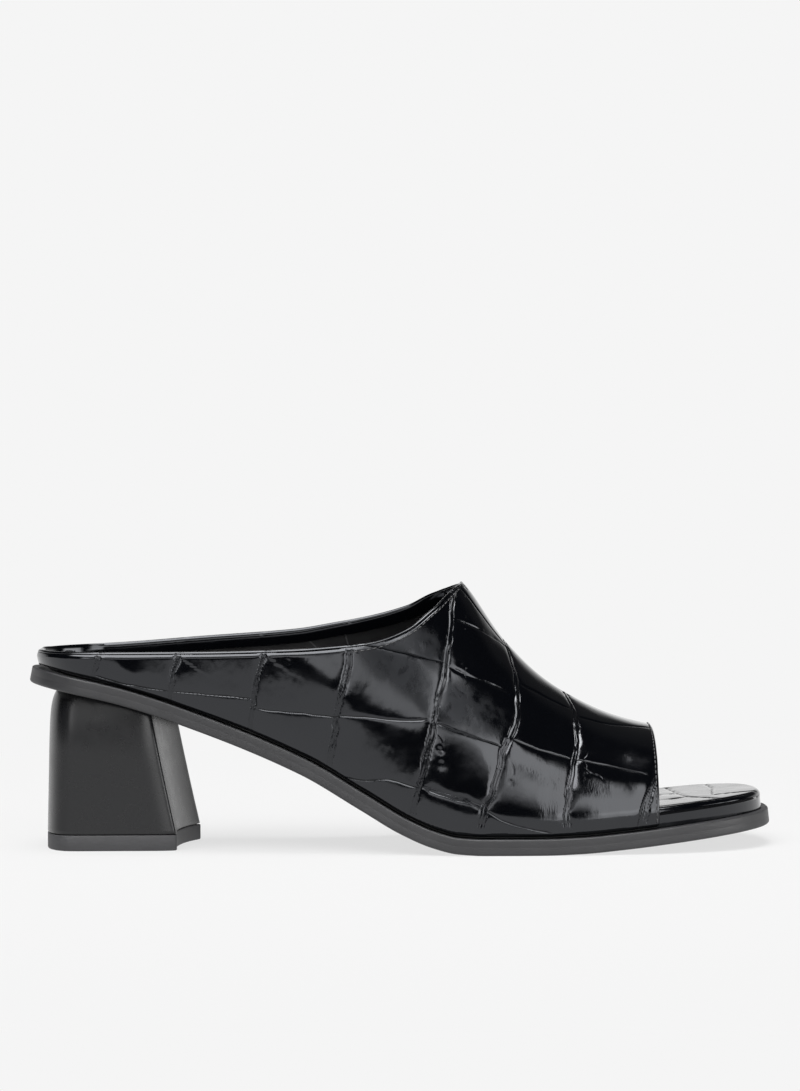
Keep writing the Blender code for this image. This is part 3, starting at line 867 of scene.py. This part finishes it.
# Creases of the outer side: marks of station and distance up the leather.
outer_creases = [
    (DEEP, [(27.2, 14), (26.1, 9.7), (25.1, 5.9), (24.4, 4.1), (24.1, 2.3), (24.1, -1)]),
    (DEEP, [(54.5, 21), (53.6, 18), (51.5, 10), (50.4, 2), (50.2, -1)]),
    (DEEP, [(84, 33), (83, 30), (80, 18.5), (78, 4), (77.6, -1)]),
    (BROAD, [(113, 50), (112.3, 46.5), (111, 38.5), (108.4, 24.5), (107.4, 20), (106.3, 11),
             (105, 1)]),
    (LIPPED, [(149.4, 97), (149, 93), (147.4, 83), (147, 75), (145.8, 65), (144.3, 54), (141.5, 41),
              (140.5, 36)]),
    (BROAD, [(141, 38), (140.5, 36), (138.4, 25), (136.6, 17), (134.2, 7.5), (133, 1)]),
    (LIPPED, [(165.8, 86), (166.6, 81), (167.2, 77), (169.4, 62), (169.6, 52), (169, 42),
              (166, 33.5)]),
    (BROAD, [(166.6, 35), (166, 33.5), (164.2, 29), (162.8, 22.5), (160, 14.5), (158, 10.5),
             (156, 3)]),
    (LIPPED, [(187, 72), (188.2, 64), (190, 47), (189.7, 32)]),
    (BROAD, [(189.8, 34), (189.7, 32), (188.1, 24), (186.5, 14), (185.6, 3)]),
    (MIDDLE, [(216.5, 24), (216, 18.5), (214, 10), (212, 2)]),
    (FINE, [(80, 9.5), (88, 12), (97, 15.5), (105.4, 19), (109, 21.5), (117, 26), (125, 30),
            (138.4, 37)]),
    (FINE, [(141, 37), (148.3, 36), (156, 34), (164, 31.5)]),
    (FINE, [(167, 35), (169, 33.5), (178.6, 30.2), (187.5, 27.6), (192.3, 26.7), (203.6, 23.2),
            (214, 19.7)]),
    (FINE, [(109.7, 1), (117.6, 4.8), (125.8, 10), (134.3, 12.2), (137.6, 13.5)]),
    (MIDDLE, [(137.6, 13.7), (143.4, 13.7), (150.8, 12.9), (157.6, 10.5)]),
    (FINE, [(158, 10), (163.7, 6.4), (170.8, 4), (181, 1.8)]),
    (FINE, [(116, 50), (117.7, 51), (125, 54), (133, 56.7), (143.3, 59.2), (145.6, 59)]),
    (SOFT, [(146.4, 58.3), (153.6, 56), (161.5, 54), (167, 52.5)]),
    (SOFT, [(147.6, 78), (148.7, 77.3), (156.7, 76.7), (164.8, 77.9), (167, 78)]),
    (SOFT, [(171, 58), (179, 56), (188, 52.8)]),
    (SOFT, [(190, 49), (192.8, 48.3), (202.3, 48), (216.5, 52)]),
    (SOFT, [(150, 95), (159.3, 85), (166, 80)]),
    (FINE, [(24.4, 2.3), (29.9, 1.9), (34.7, 1.9), (38.8, 2.6), (43.6, 3.0), (50.5, 4.3)]),
    (FINE, [(50.5, 4.4), (61.1, 7.3), (79, 12.6)]),
    (FAINT, [(216.4, 58), (216.4, 40), (216.4, 20), (216.4, 1)]),
    (FINE, [(216.8, 19), (213, 12), (210.6, 5), (209.6, 1)]),
    (FAINT, [(215.6, 17), (214.4, 9), (213.8, 3)]),
    (FAINT, [(190.6, 27), (192.4, 28.6), (193.4, 30.8)]),
    (FAINT, [(191, 25), (194, 22), (197, 20.5), (198.6, 18.2)]),
    (FAINT, [(190, 29), (192.4, 26), (192.6, 22.4)]),
    (FAINT, [(147.6, 53), (149.6, 50.4), (152.4, 49.6)]),
    (FAINT, [(147.2, 50), (149.4, 47.4)]),
    (FAINT, [(166.4, 27), (167.6, 24.6), (167.8, 22)]),
    (FAINT, [(141, 34), (143.4, 30.5), (143.2, 26.8)]),
]
# Small pits, and broad soft swells of the skin: station, distance up, across, height.
pits = [(142.8, 28.1, 1.1, -0.16), (143.4, 23.2, 1.3, -0.18), (124.2, 50, 1.6, -0.08),
        (189.9, 26.4, 0.9, -0.14), (193.2, 21.7, 0.9, -0.12), (149.9, 60.2, 0.8, -0.10),
        (194.2, 33.5, 0.8, -0.10), (154.9, 51.5, 0.9, -0.08), (127.0, 47.0, 1.2, -0.06),
        (91.0, 30.5, 1.0, -0.10), (163.2, 24.6, 0.9, -0.12), (166.9, 19.3, 0.8, -0.12)]
swells = [(37, 2.5, 6, 0.55), (46, 4, 16, 0.8), (100, 26, 10, 0.25), (106, 31, 9, 0.6),
          (143, 40, 12, 0.45), (154, 38, 12, 0.5), (165, 36, 12, 0.4), (206, 14, 11, 0.15)]
# Patches where the plated gloss has gone dull: station, distance up, across.
dulled = [(123, 50, 8), (131, 51, 9), (138, 62, 8), (150, 46, 8), (158, 42, 8)]
inner_creases = [
    (MIDDLE, [(22, 6), (24, 2.3), (24.6, 0)]),
    (MIDDLE, [(52, 26), (53, 14), (51, 2)]),
    (MIDDLE, [(82, 44), (81, 28), (79, 12), (78.4, 0)]),
    (BROAD, [(112, 62), (110, 42), (107, 22), (104, 1)]),
    (BROAD, [(148.6, 93), (146, 78), (144, 58), (140, 38), (136, 18), (133, 1)]),
    (BROAD, [(165.8, 82.5), (168, 70), (169, 52), (167, 34), (162, 18), (158, 2)]),
    (BROAD, [(187, 67), (189, 52), (190, 34), (187, 16), (185, 2)]),
    (FINE, [(54, 8), (80, 13), (107, 22), (124, 28), (141, 34)]),
    (FINE, [(141, 35), (155, 34), (167, 31), (180, 29), (203, 24), (216, 21)]),
    (FINE, [(112, 50), (128, 54), (144, 56)]),
    (FINE, [(145, 57), (156, 55), (168, 52)]),
    (FINE, [(169, 54), (180, 52), (189, 48), (203, 44), (216, 45)]),
    (FINE, [(146, 76), (156, 75), (167, 73)]),
    (FINE, [(120, 6), (134, 13), (150, 13), (161, 10), (176, 4)]),
]


def nearness(paths):
    """How far places are from the nearest crease, up to 4 mm, looked up in a 1 mm raster."""
    marks = np.vstack(paths)
    corner = marks.min(0) - 6
    field = np.full(tuple((marks.max(0) - corner + 12).astype(int)), 4.0)
    cells = np.stack(np.meshgrid(*[np.arange(-4, 5)] * 3, indexing="ij"), -1).reshape(-1, 3)
    for some in np.array_split(marks, 8):
        cell = np.floor(some - corner).astype(int)[:, None] + cells[None]
        gap = np.linalg.norm(cell + 0.5 + corner - some[:, None], axis=2)
        np.minimum.at(field, tuple(cell.reshape(-1, 3).T), gap.reshape(-1))

    def at(points):
        cell = np.floor(points - corner).astype(int)
        inside = ((cell >= 0) & (cell < field.shape)).all(-1)
        found = np.full(len(points), 4.0)
        found[inside] = field[tuple(cell[inside].T)]
        return found
    return at


def split(faces, count, marked):
    """Cut every marked edge of a triangle mesh in two; gives the new faces and their edges.

    marked takes edges and gives whether each is cut, and its length.
    """
    loops = np.stack([faces, np.roll(faces, -1, 1)], -1)
    ends = np.sort(loops.reshape(-1, 2), 1)
    edges, number = np.unique(ends, axis=0, return_inverse=True)
    number = number.reshape(-1, 3)
    cut, lengths = marked(edges)
    for _ in range(3):
        touched = cut[number].any(1)
        longest = number[np.arange(len(number)), lengths[number].argmax(1)]
        cut[longest[touched]] = True
    middle = np.full(len(edges), -1)
    middle[cut] = count + np.arange(cut.sum())
    made = middle[number]
    cuts = (made >= 0).sum(1)
    new = [faces[cuts == 0]]
    full, mid = faces[cuts == 3], made[cuts == 3]
    a, b, c = full.T
    p, q, r = mid.T
    new += [np.stack(t, 1) for t in ((a, p, r), (p, b, q), (r, q, c), (p, q, r))]
    for turn in range(3):
        spun, spun_mid = np.roll(faces, -turn, 1), np.roll(made, -turn, 1)
        one = (cuts == 1) & (spun_mid[:, 0] >= 0)
        a, b, c = spun[one].T
        p = spun_mid[one][:, 0]
        new += [np.stack([a, p, c], 1), np.stack([p, b, c], 1)]
        two = (cuts == 2) & (spun_mid[:, 2] < 0)
        a, b, c = spun[two].T
        p, q = spun_mid[two][:, 0], spun_mid[two][:, 1]
        new += [np.stack([p, b, q], 1), np.stack([a, p, q], 1), np.stack([a, q, c], 1)]
    return np.concatenate(new), edges[cut]


def both_sides(back_count, collar_count, vamp_count, row_count):
    """A grid over both sides of the upper, which share their points on the ridge of the vamp."""
    stations = np.concatenate([
        BACK_START + (24 - BACK_START) * np.sin(np.linspace(0, 0.5, back_count) * math.pi) ** 2,
        np.linspace(24, PEAK, collar_count)[1:], np.linspace(PEAK, TOE_END, vamp_count)[1:]])
    count = len(stations)
    station = np.repeat(np.concatenate([stations[::-1], stations]), row_count)
    side = np.repeat([-1, 1], count * row_count)
    share = np.tile(np.linspace(0, 1, row_count), 2 * count)
    index = np.arange(2 * count * row_count).reshape(2 * count, row_count)
    vamp = stations >= PEAK - 1e-9
    index[count:, -1][vamp] = index[:count, -1][::-1][vamp]
    return station, side, share, index


def upper_mesh(paths):
    """The upper's skin as triangles, split where they are too long for their place.

    An edge is at most 2.1 mm long, and less than half of that near a crease.
    """
    station, side, share, index = both_sides(22, 90, 48, 64)
    points = skin_point(station, side, share)
    corners = np.array(quads(index))
    faces = np.concatenate([corners[:, [0, 1, 2]], corners[:, [0, 2, 3]]])
    ridge = (share == 1) & (station >= PEAK - 1e-9)
    crease_gap = nearness(paths)

    def joins(a, b):
        return (side[a] != side[b]) & ~ridge[a] & ~ridge[b]

    def marked(edges):
        a, b = edges.T
        middle = (points[a] + points[b]) / 2
        lengths = np.linalg.norm(points[a] - points[b], axis=1)
        finest = np.where(middle[:, 1] < 2, 0.32, 0.62)
        wanted = np.interp(crease_gap(middle), [1.7, 3.6], [0, 1]) * (1.5 - finest) + finest
        return (lengths > 1.4 * wanted) & ~joins(a, b), lengths

    for _ in range(5):
        faces, edges = split(faces, len(points), marked)
        a, b = edges.T
        new_side = np.where(ridge[a], side[b], side[a])
        new_station, new_share = (station[a] + station[b]) / 2, (share[a] + share[b]) / 2
        points = np.concatenate([points, skin_point(new_station, new_side, new_share)])
        across = joins(a, b)
        points[-len(a):][across] = ((points[a] + points[b]) / 2)[across]
        ridge = np.concatenate([ridge, ridge[a] & ridge[b]])
        station, share = np.concatenate([station, new_station]), np.concatenate([share, new_share])
        side = np.concatenate([side, new_side])
    used = np.zeros(len(points), bool)
    used[faces] = True
    renumber = np.cumsum(used) - 1
    return renumber[faces], points[used], station[used], side[used], share[used]


def fold(edge, before, out, count, closed):
    """Rings of points that roll an edge over and down inside; gives points and numbers."""
    along = np.gradient(edge, axis=0)
    if closed:
        along[0] = along[-1] = edge[1] - edge[-2]
    onwards = np.cross(along, out)
    onwards /= np.linalg.norm(onwards, axis=1)[:, None]
    onwards *= np.sign(((edge - before) * onwards).sum(1))[:, None]
    steps = [(math.cos(t), math.sin(t)) for t in np.linspace(0, math.pi, 9)[1:]]
    # Inside the shoe the collar's fold hangs lower than half a circle.
    if closed:
        steps = [(x, y if x > 0 else 1 - 2.6 * (1 - y)) for x, y in steps]
    # Two more rings lie flat against the lining.
    steps += [(-1.0, -3.0), (-1.0, -4.8)]
    rings, numbers = [], []
    for outwards, forwards in steps:
        rings.append(edge - out * EDGE_ROUND
                     + EDGE_ROUND * (outwards * out + forwards * onwards))
        number = count + np.arange(len(edge))
        if closed:
            number[-1] = number[0]
        numbers.append(number)
        count += len(edge)
    return np.vstack(rings), np.array(numbers)


def build_upper():
    """The skin with its emboss, drawn under at the sole, and folded in at collar and toe."""
    creases = [(leather_path(side, marks), kind)
               for side, table in ((-1, outer_creases), (1, inner_creases))
               for kind, marks in table]
    faces, points, station, side, share = upper_mesh([path for path, _ in creases])
    out = normals(points, faces.tolist())
    length = np.where(side < 0, measured_length(station, -1), measured_length(station, 1))
    height, dull_and_shade = pressed(points, out, creases)
    height += 0.06 * lumps(points, 15.0, 1) + 0.03 * lumps(points, 6.0, 2)
    drawn_under, skived, edge_width = 1.5, 0.55, 1.7
    height -= drawn_under * np.clip(1 - share * length / edge_width, 0, 1) ** 1.4

    def far_from(place, up, reach):
        far = np.hypot(station - place, share * length - up) / reach
        return np.where(side < 0, far, np.inf)

    for place, up, reach, rise in pits + swells:
        height += rise * np.exp(-far_from(place, up, reach) ** 2)
    bloom = np.zeros(len(points))
    for place, up, reach in dulled:
        bloom = np.maximum(bloom, np.exp(-far_from(place, up, reach) ** 4))
    from_collar = np.where(station < PEAK, (1 - share) * length, 9.0)
    height -= (skived * np.clip(1 - from_collar / edge_width, 0, 1) ** 2
               * np.clip((PEAK - station) / 8, 0, 1))
    points = points + out * height[:, None]
    faces = faces.tolist()

    def there_and_back(chosen, order):
        """Points of both sides in one row: the outer in an order, the inner against it."""
        outer, inner = chosen[side[chosen] < 0], chosen[side[chosen] > 0]
        return np.append(outer[np.argsort(order[outer])], inner[np.argsort(-order[inner])])

    collar = there_and_back(np.flatnonzero((share == 1) & (station <= PEAK + 1e-9)), -station)
    collar = np.append(collar, collar[0])
    below = skin_point(station[collar], side[collar], np.full(len(collar), 0.97))
    rim, numbers = fold(points[collar], below, out[collar], len(points), True)
    faces += quads(np.vstack([collar[None], numbers]))
    toe = there_and_back(np.flatnonzero(station == TOE_END), share)
    behind = skin_point(station[toe] - 2, side[toe], share[toe])
    lip, numbers = fold(points[toe], behind, out[toe], len(points) + len(rim), False)
    faces += [face[::-1] for face in quads(np.vstack([toe[None], numbers]))]

    points = np.vstack([points, rim, lip])
    bare = np.zeros(len(rim) + len(lip))
    piece = add_mesh("upper_leather", points, faces, leather)
    # Keeps the creases' roughness and painted shade for the leather's material.
    mark(piece, "dull_and_shade", np.concatenate([dull_and_shade, bare]))
    mark(piece, "bloom", np.concatenate([bloom, bare]))
    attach(piece, "root")
    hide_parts("upper")


build_upper()


# Stitches
# Rows of black waxed thread along the collar and the toe opening, one short stitch after
# another, and the raised welts of the lining's two seams, seen on the inside of the far wall.
STITCH_LENGTH = 1.8
STITCH_PITCH = 2.2
TOE_ROW = TOE_OPENING - 1.1
COLLAR_ROW_DOWN = 1.9
OUTER_COLLAR_START = 113
# Each welt's upper and lower end: station, and distance down from the collar.
SEAM_WELTS = [(95.5, 0.3), (101.5, 7.5)], [(109.5, 0.3), (111.5, 8.0)]


def waxed_thread():
    made, tree, shader = finish("waxed_thread", (0.05, 0.05, 0.052), 0.45)
    emboss(tree, shader, noise(tree, 0.25, 2.0, (3.0, 3.0, 1.0)), 0.05, 0.6)
    return made


def rod(path, out, thickness, first):
    """A thin round thread through points, with its thickness at each; first numbers it."""
    ahead = np.gradient(path, axis=0)
    ahead /= np.linalg.norm(ahead, axis=1)[:, None]
    aside = np.cross(ahead, out)
    turn = np.linspace(0, 2 * math.pi, 7)[:-1]
    points = [path + thickness[:, None] * (math.cos(t) * out + math.sin(t) * aside) for t in turn]
    index = first + np.arange(6 * len(path)).reshape(6, len(path))
    return np.vstack(points), quads(np.vstack([index, index[:1]]))


def build_stitches():
    """Threads laid end to end on the skin, and two seam welts inside the far wall."""
    lines = []
    for side in (-1, 1):
        up = np.linspace(1.5, measured_length(TOE_ROW, side) - 0.2, 400)
        lines.append((np.full(400, TOE_ROW), side, up))
        along = np.linspace(BACK_START + 0.5 if side > 0 else OUTER_COLLAR_START, PEAK - 1.5, 900)
        lines.append((along, side, measured_length(along, side) - COLLAR_ROW_DOWN))
    points, faces = [], []
    count = 0

    def lay(path, out, thickness):
        nonlocal count
        made, between = rod(path, out, thickness, count)
        points.append(made)
        faces.extend(between)
        count += len(made)

    def outward(path):
        middle = np.column_stack([path[:, 0], 0 * path[:, 0] + 4, 0.5 * path[:, 2]])
        away = path - middle
        away[:, 0] = 0
        ahead = np.gradient(path, axis=0)
        away -= ahead * ((away * ahead).sum(1) / (ahead ** 2).sum(1))[:, None]
        return away / np.linalg.norm(away, axis=1)[:, None]

    for station, side, up in lines:
        path = skin_point(station, side, up / measured_length(station, side))
        run = np.concatenate(([0], np.cumsum(np.linalg.norm(np.diff(path, axis=0), axis=1))))
        for start in np.arange(0.3, run[-1] - STITCH_PITCH, STITCH_PITCH):
            at = start + STITCH_LENGTH * np.linspace(0, 1, 7)
            some = np.stack([np.interp(at, run, path[:, k]) for k in range(3)], -1)
            out = outward(some)
            lift = np.sin(np.linspace(0, math.pi, 7))
            some = some + out * (0.02 + 0.14 * lift)[:, None]
            lay(some, out, 0.03 + 0.17 * np.sqrt(lift.clip(0)))
    for top, foot in SEAM_WELTS:
        station, down = np.linspace(top, foot, 30).T
        length = measured_length(station, 1)
        path = skin_point(station, 1, (length - down) / length)
        out = outward(path)
        lay(path - out * (WALL + 0.15), out, np.full(30, 0.28))
    piece = add_mesh("edge_stitches", np.vstack(points), faces, waxed_thread())
    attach(piece, "root")


build_stitches()


# Lining
# Smooth black lining leather, glued inside the upper and held by its folded edges. Here it is
# one sheet, a little within the thickness of the wall.
LINING_DEPTH = WALL - 0.35


def lining_leather():
    made, tree, shader = finish("lining_leather", (0.008, 0.008, 0.0085), 0.42)
    link(tree, ramp(tree, noise(tree, 5.0), 0.3, 0.7, 0.36, 0.5), shader.inputs["Roughness"])
    emboss(tree, shader, noise(tree, 0.6, 3.0), 0.05, 0.5)
    return made


def build_lining():
    station, side, share, index = both_sides(16, 60, 34, 33)
    points = skin_point(station, side, share)
    points -= normals(points, quads(index)) * LINING_DEPTH
    faces = [face[::-1] for face in quads(index)]
    piece = add_mesh("upper_lining", points, faces, lining_leather())
    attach(piece, "root")
    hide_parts("upper")


build_lining()
